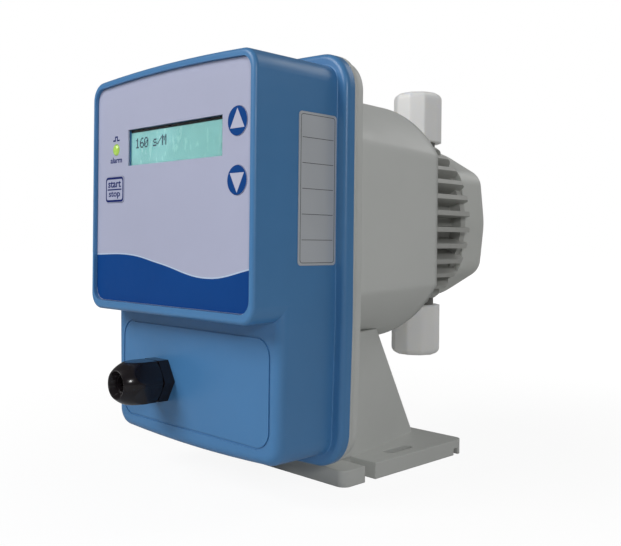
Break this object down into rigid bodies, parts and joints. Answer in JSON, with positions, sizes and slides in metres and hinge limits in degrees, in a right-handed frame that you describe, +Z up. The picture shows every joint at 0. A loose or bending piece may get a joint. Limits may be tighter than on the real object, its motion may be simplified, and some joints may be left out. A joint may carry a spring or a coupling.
{
  "type": "diaphragm metering pump",
  "caption": "Solenoid-driven diaphragm metering pump with a keypad display cover, a finned ring, a pump head with ball valves and a slotted foot.",
  "frame": {"origin": "underside of the foot, midway between its two fixing slots", "axes": "+Z up, -Y towards the display, +Y towards the pump head, +X to the right seen from the display"},
  "size_m": [0.1228, 0.189, 0.1856],
  "materials": {
    "blue_plastic": "fine moulded grain",
    "membrane_film": "satin film",
    "clear_window": "clear",
    "display_glass": "glossy",
    "lamp_lens": "glossy",
    "board_laminate": "solder mask",
    "module_black": "moulded",
    "terminal_green": "moulded",
    "gland_nylon": "glossy moulded",
    "seal_rubber": "matte",
    "housing_grey": "fine moulded grain",
    "ring_grey": "fine moulded grain",
    "head_grey": "moulded",
    "valve_grey": "moulded",
    "nut_white": "slightly translucent",
    "ptfe": "waxy",
    "ceramic": "polished",
    "steel": "turned or drawn",
    "copper_wire": "enamelled wire",
    "bronze": "sintered",
    "label_film": "satin foil"
  },
  "bodies": {
    "base": {"front_cover": "blue_plastic", "keypad_membrane": "membrane_film", "display_window": "clear_window", "lcd_glass": "display_glass", "status_lamp": "lamp_lens", "control_board": "board_laminate", "lcd_module": "module_black", "key_switches": "module_black", "power_relay": "module_black", "coil_bobbin": "module_black", "capacitor": "module_black", "terminal_block": "terminal_green", "gland_body": "gland_nylon", "gland_dome_nut": "gland_nylon", "gland_locknut": "gland_nylon", "gland_seal": "seal_rubber", "cover_gasket": "seal_rubber", "plunger_bumper": "seal_rubber", "suction_seal_ring": "seal_rubber", "discharge_seal_ring": "seal_rubber", "rear_housing": "housing_grey", "mounting_foot": "housing_grey", "finned_ring": "ring_grey", "pump_head": "head_grey", "suction_valve_body": "valve_grey", "discharge_valve_body": "valve_grey", "suction_hose_nut": "nut_white", "discharge_hose_nut": "nut_white", "suction_nipple": "nut_white", "discharge_nipple": "nut_white", "suction_clamp_ring": "nut_white", "discharge_clamp_ring": "nut_white", "suction_ball_cage": "nut_white", "discharge_ball_cage": "nut_white", "diaphragm": "ptfe", "suction_seat": "ptfe", "discharge_seat": "ptfe", "board_screws": "steel", "cover_screws": "steel", "solenoid_yoke": "steel", "yoke_front_plate": "steel", "return_spring": "steel", "solenoid_screws": "steel", "head_bolts": "steel", "foot_screws": "steel", "solenoid_cap": "steel", "coil_winding": "copper_wire", "shaft_bush": "bronze", "rating_label": "label_film"},
    "armature": {"plunger": "steel", "drive_shaft": "steel", "diaphragm_core": "ptfe"},
    "suction_ball": {"suction_ball": "ceramic"},
    "discharge_ball": {"discharge_ball": "ceramic"},
    "up_key": {"up_key": "membrane_film"},
    "down_key": {"down_key": "membrane_film"},
    "start_stop_key": {"start_stop_key": "membrane_film"}
  },
  "joints": [
    {"name": "plunger_stroke", "type": "slide", "parent": "base", "child": "armature", "axis": [0, 1, 0], "range_m": [0, 0.00125], "stiffness_N_per_m": 4000, "springref_m": -0.003, "deforming": ["return_spring", "diaphragm"]},
    {"name": "suction_ball_lift", "type": "slide", "parent": "base", "child": "suction_ball", "axis": [0, 0, 1], "range_m": [0, 0.002]},
    {"name": "discharge_ball_lift", "type": "slide", "parent": "base", "child": "discharge_ball", "axis": [0, 0, 1], "range_m": [0, 0.002]},
    {"name": "up_key_press", "type": "slide", "parent": "base", "child": "up_key", "axis": [0, 1, 0], "range_m": [0, 0.0004], "stiffness_N_per_m": 2500, "springref_m": -0.0002},
    {"name": "down_key_press", "type": "slide", "parent": "base", "child": "down_key", "axis": [0, 1, 0], "range_m": [0, 0.0004], "stiffness_N_per_m": 2500, "springref_m": -0.0002},
    {"name": "start_stop_key_press", "type": "slide", "parent": "base", "child": "start_stop_key", "axis": [0, 1, 0], "range_m": [0, 0.0004], "stiffness_N_per_m": 2500, "springref_m": -0.0002}
  ]
}
